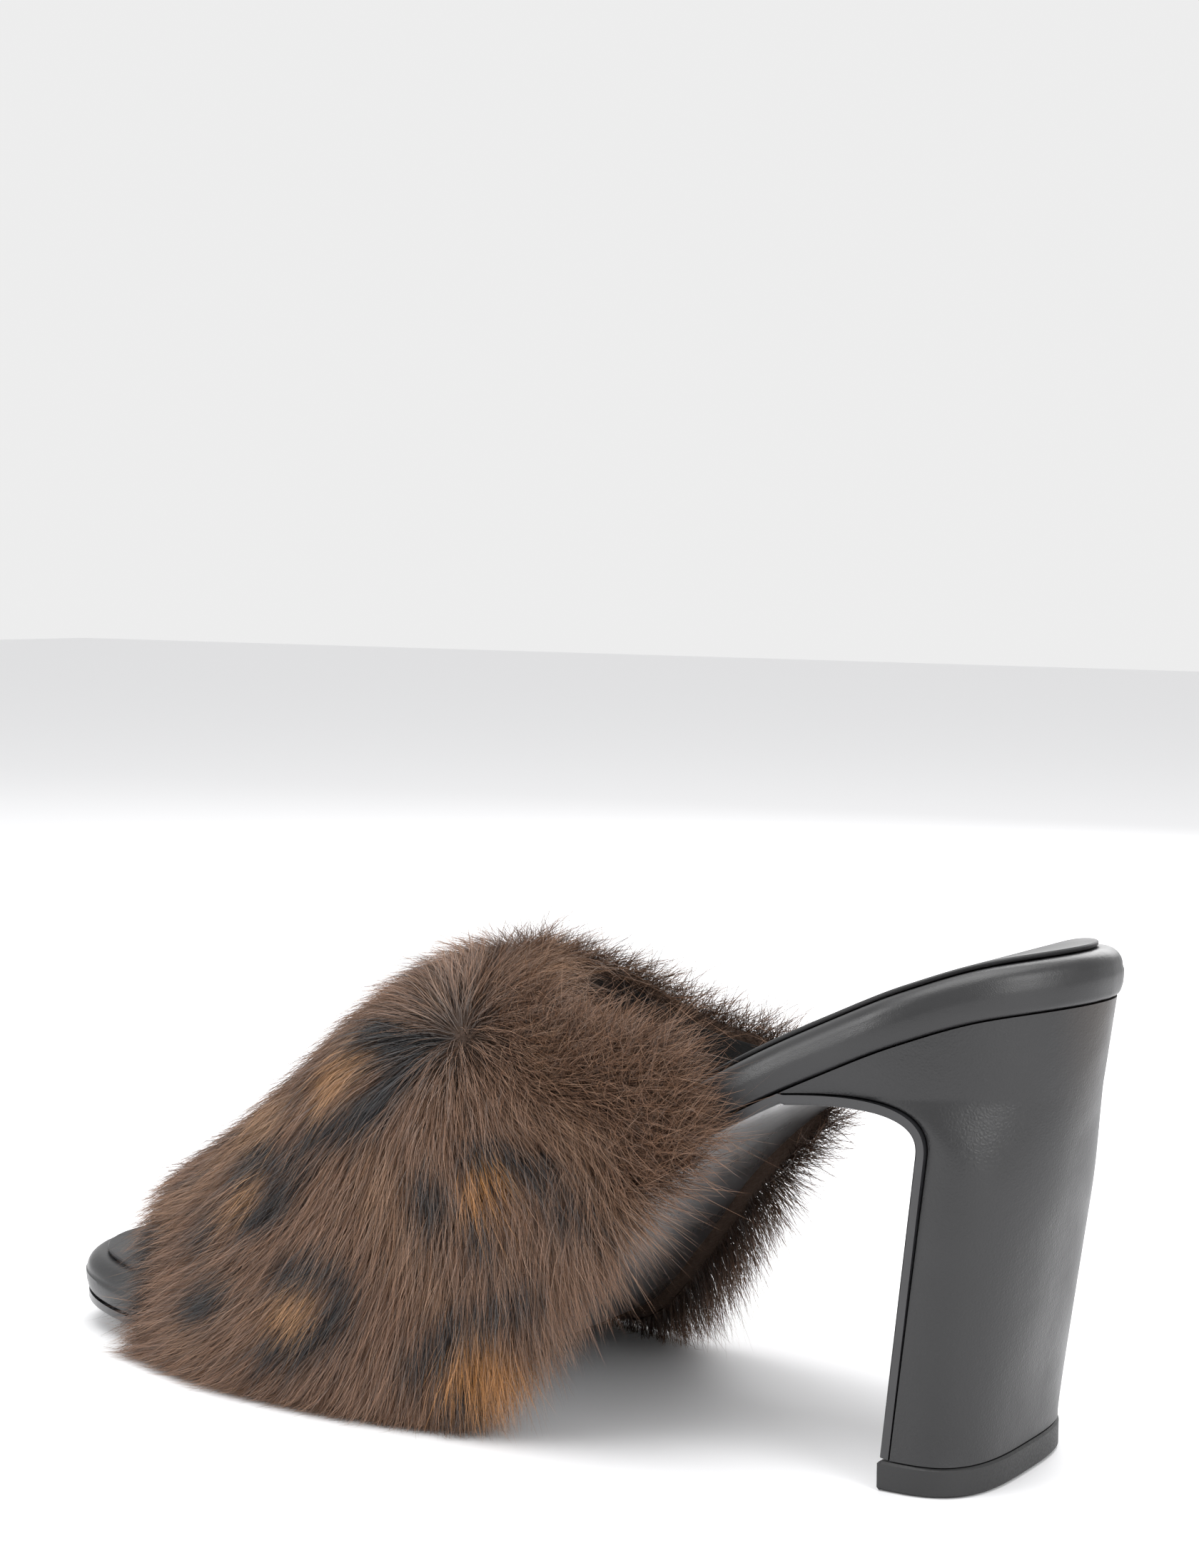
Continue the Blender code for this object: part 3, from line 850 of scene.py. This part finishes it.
tanMarks = [
    (0.0046, [(0.27, 0.53), (0.28, 0.51)]),
    (0.0030, [(0.16, 0.27), (0.18, 0.29)]),
    (0.0038, [(0.06, 0.36), (0.06, 0.39)]),
    (0.0035, [(0.47, 0.38), (0.48, 0.42)]),
    (0.0035, [(0.68, 0.30), (0.69, 0.32)]),
    (0.0036, [(0.69, 0.58), (0.70, 0.60)]),
    (0.0036, [(0.85, 0.41), (0.86, 0.43)]),
]
amberMarks = [
    (0.0046, [(-0.03, 0.70), (-0.02, 0.66)]),
    (0.0030, [(0.12, 0.71), (0.12, 0.75)]),
    (0.0040, [(0.91, 0.60), (0.92, 0.62)]),
]
fawnMarks = [
    (0.0060, [(0.27, 0.34), (0.29, 0.30)]),
    (0.0050, [(0.62, 0.46), (0.64, 0.48)]),
]


def markPlaces(path):
    # where a mark lies on the hair tips
    turn, across = np.array(path).T
    point, normal, back, over = liningFrame(np.clip(turn, 0, 1), np.clip(across, 0, 1))
    below = np.maximum(-turn, turn - 1).clip(0) * fur["markDrop"]
    past = (across - np.clip(across, 0, 1)) * fur["markPast"]
    raised = point + normal * fur["markHeight"]
    return raised + back * past[:, None] - np.outer(below, [0, 0, 1])


def distanceTo(points, path):
    best = np.full(len(points), 9.0)
    for start, end in zip(path[:-1], path[1:]):
        line = end - start
        t = np.clip((points - start) @ line / max(line @ line, 1e-12), 0, 1)
        best = np.minimum(best, np.linalg.norm(points - start - t[:, None] * line, axis=1))
    return best


def paint(colours, marks, points, paintColour, edge):
    wobble = ripple(points, fur["edgeWaves"], seed=9) * fur["edgeWobble"]
    for half, path in marks:
        reach = distanceTo(points, markPlaces(path)) + wobble
        cover = 1 - easeBetween(half * (1 - edge), half * (1 + edge), reach)
        colours += (np.array(paintColour) - colours) * cover[:, None]


def furColours(points):
    colours = np.ones((len(points), 3)) * fur["brown"]
    light = easeBetween(0.1, 0.9, ripple(points, fur["shadeWaves"], seed=21)) * fur["shadeDepth"]
    colours += (np.array(fur["fawn"]) - colours) * light[:, None]
    for marks, name, edge in (
        (fawnMarks, "fawn", 0.5),
        (tanMarks, "tan", 0.35),
        (amberMarks, "amber", 0.5),
        (blackMarks, "black", 0.22),
    ):
        paint(colours, marks, points, fur[name], edge)
    return colours


def furFlow(spots, normal, back, over, turns, across):
    # combed to the toe in front and down the sides behind, away from a crown on each side
    side = np.clip((0.5 - turns) / comb["ridgeSpan"], -1, 1)[..., None]
    low = np.clip(1 - 2 * np.minimum(turns, 1 - turns) / comb["footSpan"], 0, 1)
    rear = easeBetween(comb["rearFrom"], comb["rearTo"], across)
    degrees = comb["toeAngle"] + comb["rearAngle"] * rear + comb["footAngle"] * low
    angle = np.radians(degrees)[..., None]
    toToe = np.cos(angle) + (1 - np.abs(side)) * np.sin(angle) * comb["ridgePull"]
    flow = -back * toToe - over * side * np.sin(angle)
    for turn in (fur["crownTurn"], 1 - fur["crownTurn"]):
        crown = liningFrame(np.array(turn), np.array(fur["crownAcross"]))
        away = spots - (crown[0] + crown[1] * band["skin"])
        near = np.exp(-(np.linalg.norm(away, axis=-1, keepdims=True) / fur["crownReach"]) ** 2)
        flow = flow * (1 - near) + unit(away) * near
    collar = easeBetween(comb["collarFrom"], 1.0, across)[..., None]
    flow = flow * (1 - collar) + back * collar
    flow -= normal * np.sum(flow * normal, -1, keepdims=True)
    return unit(flow)


def makeUnderfur():
    section = bandSection(band["innerGap"], band["skin"], band["rollOut"], band["rows"])
    spots, normal, back, over, turns, across = bandShape(section, band["columns"], band["hang"])
    spots[..., 2] = np.maximum(spots[..., 2], band["floorGap"])
    flow = furFlow(spots, normal, back, over, turns, across)
    points = spots.reshape(-1, 3)
    tips = points + (flow * fur["tipReach"]).reshape(-1, 3) + normal.reshape(-1, 3) * fur["tipRise"]
    cover = np.ones(turns.shape) * section[:, 3]
    rim = np.ones(turns.shape) * np.clip(np.abs(section[:, 1]) / band["rollOut"], 0, 1)
    fuzz = np.maximum(rim, easeBetween(0.80, 1.0, across))
    nearToe = 1 - easeBetween(0.0, 0.2, across)
    length = 1 - fur["shorterFuzz"] * fuzz - fur["shorterToe"] * nearToe
    attributes = {
        "furTint": ("FLOAT_COLOR", np.column_stack([furColours(tips), np.ones(len(points))])),
        "furFlow": ("FLOAT_VECTOR", flow),
        "furCover": ("FLOAT", cover),
        "furFuzz": ("FLOAT", fuzz),
        "furLength": ("FLOAT", length),
        "furTurn": ("FLOAT", turns),
    }
    faces = ringFaces(len(spots), spots.shape[1])
    return addMesh("underfur", points, faces, underfur, attributes)


liningPiece = makeLining()
underfurPiece = makeUnderfur()
print("lining and underfur made")


# Hairs grow on the underfur
hairInputs = {
    "Density": ("NodeSocketFloat", 1e6),
    "First Turn": ("NodeSocketFloat", 0.0),
    "Last Turn": ("NodeSocketFloat", 1.0),
    "Length": ("NodeSocketFloat", fur["length"]),
    "Width": ("NodeSocketFloat", fur["width"]),
    "Rise": ("NodeSocketFloat", 0.70),
    "Lean": ("NodeSocketFloat", 0.70),
    "Bend": ("NodeSocketFloat", 0.42),
    "Frizz": ("NodeSocketFloat", 0.30),
    "Tuft Size": ("NodeSocketFloat", 0.0045),
    "Tuft Pull": ("NodeSocketFloat", 0.45),
    "Segments": ("NodeSocketInt", 4),
    "Lowest": ("NodeSocketFloat", 0.0004),
    "Seed": ("NodeSocketInt", 7),
    "Material": ("NodeSocketMaterial", None),
}
hairShape = {
    "taperPower": 2.2,
    "curlPower": 2.0,
    "fuzzFrizz": 0.45,
    "fuzzUpright": 0.45,
    "shortest": 0.72,
    "longest": 1.08,
    "strayLength": 0.35,
    "strayPower": 5.0,
    "bendFrizz": 0.6,
    "sag": (0, 0, -0.08),
}


def hairTree():
    tree = bpy.data.node_groups.new("furHairs", "GeometryNodeTree")
    tree.interface.new_socket("Geometry", in_out="INPUT", socket_type="NodeSocketGeometry")
    for name, (kind, value) in hairInputs.items():
        socket = tree.interface.new_socket(name, in_out="INPUT", socket_type=kind)
        if value is not None:
            socket.default_value = value
    tree.interface.new_socket("Geometry", in_out="OUTPUT", socket_type="NodeSocketGeometry")
    given = addNode(tree, "NodeGroupInput").outputs

    def maths(operation, first, second=0.0, third=0.0):
        inputs = {0: first, 1: second, 2: third}
        return addNode(tree, "ShaderNodeMath", inputs, operation=operation).outputs[0]

    def vectors(operation, first, second):
        key = "Scale" if operation == "SCALE" else 1
        inputs = {0: first, key: second}
        return addNode(tree, "ShaderNodeVectorMath", inputs, operation=operation).outputs[0]

    def named(name, kind="FLOAT"):
        return addNode(tree, "GeometryNodeInputNamedAttribute", {"Name": name}, data_type=kind).outputs[0]

    def keep(geometry, name, value, kind="FLOAT"):
        inputs = {"Geometry": geometry, "Name": name, "Value": value}
        settings = {"data_type": kind, "domain": "POINT"}
        return addNode(tree, "GeometryNodeStoreNamedAttribute", inputs, **settings).outputs[0]

    def chance(offset, low=0.0, high=1.0):
        seed = maths("ADD", given["Seed"], offset)
        inputs = {2: low, 3: high, "Seed": seed}
        return addNode(tree, "FunctionNodeRandomValue", inputs, data_type="FLOAT").outputs[1]

    def chanceVector(offset):
        seed = maths("ADD", given["Seed"], offset)
        inputs = {0: (-1, -1, -1), 1: (1, 1, 1), "Seed": seed}
        return addNode(tree, "FunctionNodeRandomValue", inputs, data_type="FLOAT_VECTOR").outputs[0]

    # one tapered ribbon of unit height
    line = addNode(tree, "GeometryNodeCurvePrimitiveLine", {"Start": (0, 0, 0), "End": (0, 0, 1)})
    inputs = {"Curve": line.outputs[0], "Count": given["Segments"]}
    steps = addNode(tree, "GeometryNodeResampleCurve", inputs)
    factor = addNode(tree, "GeometryNodeSplineParameter").outputs["Factor"]
    marked = keep(steps.outputs[0], "hairAlong", factor)
    taper = maths("SUBTRACT", 1.0, maths("POWER", factor, hairShape["taperPower"]))
    profile = addNode(tree, "GeometryNodeCurvePrimitiveLine", {"Start": (-0.5, 0, 0), "End": (0.5, 0, 0)})
    inputs = {"Curve": marked, "Profile Curve": profile.outputs[0], "Scale": taper}
    ribbon = addNode(tree, "GeometryNodeCurveToMesh", inputs)
    inputs = {"Geometry": ribbon.outputs[0], "Distance": 0.01}
    pointed = addNode(tree, "GeometryNodeMergeByDistance", inputs)

    # roots
    turn = named("furTurn")
    after = maths("GREATER_THAN", turn, given["First Turn"])
    before = maths("SUBTRACT", 1.0, maths("GREATER_THAN", turn, given["Last Turn"]))
    zone = maths("MULTIPLY", after, before)
    density = maths("MULTIPLY", maths("MULTIPLY", given["Density"], named("furCover")), zone)
    inputs = {"Mesh": given["Geometry"], "Density": density, "Seed": given["Seed"]}
    roots = addNode(tree, "GeometryNodeDistributePointsOnFaces", inputs, distribute_method="RANDOM")
    normal = roots.outputs["Normal"]
    flow, fuzz = named("furFlow", "FLOAT_VECTOR"), named("furFuzz")
    place = addNode(tree, "GeometryNodeInputPosition").outputs[0]

    # direction, bend and tuft of each hair
    frizz = maths("ADD", given["Frizz"], maths("MULTIPLY", fuzz, hairShape["fuzzFrizz"]))
    upright = maths("MULTIPLY", fuzz, hairShape["fuzzUpright"])
    lean = maths("MULTIPLY", given["Lean"], maths("SUBTRACT", 1.0, upright))
    start = vectors("ADD", vectors("SCALE", normal, given["Rise"]), vectors("SCALE", flow, lean))
    start = vectors("ADD", start, vectors("SCALE", chanceVector(1), frizz))
    start = vectors("NORMALIZE", start, (0, 0, 0))
    stray = maths("MULTIPLY", maths("POWER", chance(2), hairShape["strayPower"]), hairShape["strayLength"])
    size = maths("ADD", chance(3, hairShape["shortest"], hairShape["longest"]), stray)
    size = maths("MULTIPLY", maths("MULTIPLY", given["Length"], named("furLength")), size)
    bend = vectors("SCALE", vectors("SUBTRACT", flow, normal), given["Bend"])
    wave = vectors("SCALE", chanceVector(4), maths("MULTIPLY", frizz, hairShape["bendFrizz"]))
    bend = vectors("ADD", vectors("ADD", bend, wave), hairShape["sag"])
    cell = maths("DIVIDE", 1.0, given["Tuft Size"])
    tufts = addNode(tree, "ShaderNodeTexVoronoi", {"Vector": place, "Scale": cell}, feature="F1")
    pull = vectors("SUBTRACT", tufts.outputs["Position"], place)
    dot = addNode(tree, "ShaderNodeVectorMath", {0: pull, 1: normal}, operation="DOT_PRODUCT")
    pull = vectors("SUBTRACT", pull, vectors("SCALE", normal, dot.outputs["Value"]))
    pull = vectors("SCALE", pull, given["Tuft Pull"])
    bend = vectors("ADD", vectors("SCALE", bend, size), pull)

    points = keep(roots.outputs["Points"], "hairBend", bend, "FLOAT_VECTOR")
    points = keep(points, "hairChance", chance(5))
    aim = addNode(tree, "FunctionNodeAlignRotationToVector", {"Vector": start}, axis="Z")
    inputs = {"Axis": (0, 0, 1), "Angle": chance(6, 0.0, 3.1416)}
    spin = addNode(tree, "FunctionNodeAxisAngleToRotation", inputs)
    inputs = {0: aim.outputs[0], 1: spin.outputs[0]}
    turned = addNode(tree, "FunctionNodeRotateRotation", inputs, rotation_space="LOCAL")
    scale = addNode(tree, "ShaderNodeCombineXYZ", {0: given["Width"], 1: given["Width"], 2: size})
    inputs = {"Points": points, "Instance": pointed.outputs[0]}
    inputs.update({"Rotation": turned.outputs[0], "Scale": scale.outputs[0]})
    hairs = addNode(tree, "GeometryNodeInstanceOnPoints", inputs)
    real = addNode(tree, "GeometryNodeRealizeInstances", {"Geometry": hairs.outputs[0]})
    alongCurl = maths("POWER", named("hairAlong"), hairShape["curlPower"])
    curl = vectors("SCALE", named("hairBend", "FLOAT_VECTOR"), alongCurl)
    bent = addNode(tree, "GeometryNodeSetPosition", {"Geometry": real.outputs[0], "Offset": curl})
    spot = addNode(tree, "GeometryNodeInputPosition").outputs[0]
    parts = addNode(tree, "ShaderNodeSeparateXYZ", {0: spot})
    kept = maths("MAXIMUM", parts.outputs[2], given["Lowest"])
    lifted = addNode(tree, "ShaderNodeCombineXYZ", {0: parts.outputs[0], 1: parts.outputs[1], 2: kept})
    inputs = {"Geometry": bent.outputs[0], "Position": lifted.outputs[0]}
    level = addNode(tree, "GeometryNodeSetPosition", inputs)
    inputs = {"Geometry": level.outputs[0], "Material": given["Material"]}
    finished = addNode(tree, "GeometryNodeSetMaterial", inputs)
    addNode(tree, "NodeGroupOutput", {0: finished.outputs[0]})
    return tree


def growHairs(name, tree, values):
    grower = bpy.data.objects.new("hairGrower", underfurPiece.data)
    bpy.context.scene.collection.objects.link(grower)
    modifier = grower.modifiers.new("hairs", "NODES")
    modifier.node_group = tree
    for socket in tree.interface.items_tree:
        if socket.in_out == "INPUT" and socket.name in values:
            modifier[socket.identifier] = values[socket.name]
    ready = grower.evaluated_get(bpy.context.evaluated_depsgraph_get())
    mesh = bpy.data.meshes.new_from_object(ready)
    bpy.data.objects.remove(grower)
    for label in ("furFlow", "furCover", "furFuzz", "furLength", "furTurn", "hairBend"):
        if label in mesh.attributes:
            mesh.attributes.remove(mesh.attributes[label])
    made = bpy.data.objects.new(name, mesh)
    bpy.context.scene.collection.objects.link(made)
    triangles = sum(len(face.vertices) - 2 for face in mesh.polygons)
    print(name, triangles, "triangles")
    return made


# zone, first and last turn, hairs per square metre
furZones = [
    ("furLateralFoot", -1.0, 0.115, 8.6e6),
    ("furLateralSide", 0.115, 0.27, 8.6e6),
    ("furInstep", 0.27, 0.62, 5.0e6),
    ("furMedialSide", 0.62, 0.86, 5.0e6),
    ("furMedialFoot", 0.86, 2.0, 6.0e6),
]
seedStep = 40
furPieces = []
tree = hairTree()
for number, (name, firstTurn, lastTurn, density) in enumerate(furZones):
    values = {"Density": density, "First Turn": firstTurn, "Last Turn": lastTurn}
    values.update({"Seed": seedStep * number, "Material": furHair})
    furPieces.append(growHairs(name, tree, values))
print("fur grown")

for piece, node, finish in (
    (footbedWrap, "footbed", "leather"),
    (insoleSock, "insole", "sock"),
    (outsoleSole, "outsole", "sole"),
    (heelCover, "heel", "heel_leather"),
    (heelTipRubber, "heel_tip", "rubber"),
    (underfurPiece, "upper", "fur"),
):
    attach(piece, "root")
    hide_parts(node)
for piece in [liningPiece] + furPieces:
    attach(piece, "root")

# Floor, light and camera
studio = {
    "floor": colour(0.86, 0.86, 0.87),
    "floorHalf": 4.0,
    "floorDrop": 0.0002,
    "world": 0.85,
    "eye": Vector((0.44954, 0.20731, 0.15906)),
    "aim": Vector((-0.83690845, -0.54193649, -0.07674044)),
    "roll": 0.617,
    "lens": 64.0,
    "sensor": 36,
    "litPoint": (0, -0.09, 0.05),
    # name, place, size and power
    "lights": (
        ("topSoftbox", (0.10, -0.10, 1.0), (0.9, 0.9), 9),
        ("frontSoftbox", (0.95, -0.75, 0.55), (0.6, 0.8), 7),
        ("rearSoftbox", (0.35, 0.95, 0.55), (0.5, 0.8), 6),
        ("farSoftbox", (-0.9, -0.2, 0.6), (0.6, 0.8), 5),
    ),
}


def makeFloor():
    made, tree, shader = newMaterial("paleFloor", Roughness=0.75)
    shader.inputs["Base Color"].default_value = studio["floor"]
    half = studio["floorHalf"]
    corners = [(-half, -half, 0), (half, -half, 0), (half, half, 0), (-half, half, 0)]
    mesh = bpy.data.meshes.new("floor")
    mesh.from_pydata(corners, [], [(0, 1, 2, 3)])
    mesh.materials.append(made)
    floor = bpy.data.objects.new("floor", mesh)
    floor.location.z = -studio["floorDrop"]
    bpy.context.scene.collection.objects.link(floor)


def addLight(name, place, size, power):
    lamp = bpy.data.lights.new(name, "AREA")
    lamp.shape = "RECTANGLE"
    lamp.size, lamp.size_y = size
    lamp.energy = power
    made = bpy.data.objects.new(name, lamp)
    made.location = place
    made.rotation_mode = "QUATERNION"
    made.rotation_quaternion = (Vector(studio["litPoint"]) - Vector(place)).to_track_quat("-Z", "Y")
    bpy.context.scene.collection.objects.link(made)


def makeStudio():
    scene = bpy.context.scene
    scene.world = bpy.data.worlds.new("studio")
    scene.world.use_nodes = True
    background = scene.world.node_tree.nodes["Background"]
    background.inputs["Color"].default_value = colour(1, 1, 1)
    background.inputs["Strength"].default_value = studio["world"]
    for name, place, size, power in studio["lights"]:
        addLight(name, place, size, power)
    lens = bpy.data.cameras.new("camera")
    lens.lens = studio["lens"]
    lens.sensor_width = studio["sensor"]
    lens.clip_start = 0.01
    camera = bpy.data.objects.new("camera", lens)
    turn = studio["aim"].to_track_quat("-Z", "Y").to_matrix().to_4x4()
    roll = Matrix.Rotation(math.radians(studio["roll"]), 4, "Z")
    camera.matrix_world = Matrix.Translation(studio["eye"]) @ turn @ roll
    scene.collection.objects.link(camera)
    scene.camera = camera
    scene.view_settings.view_transform = "Standard"


makeFloor()
makeStudio()
print("studio made")
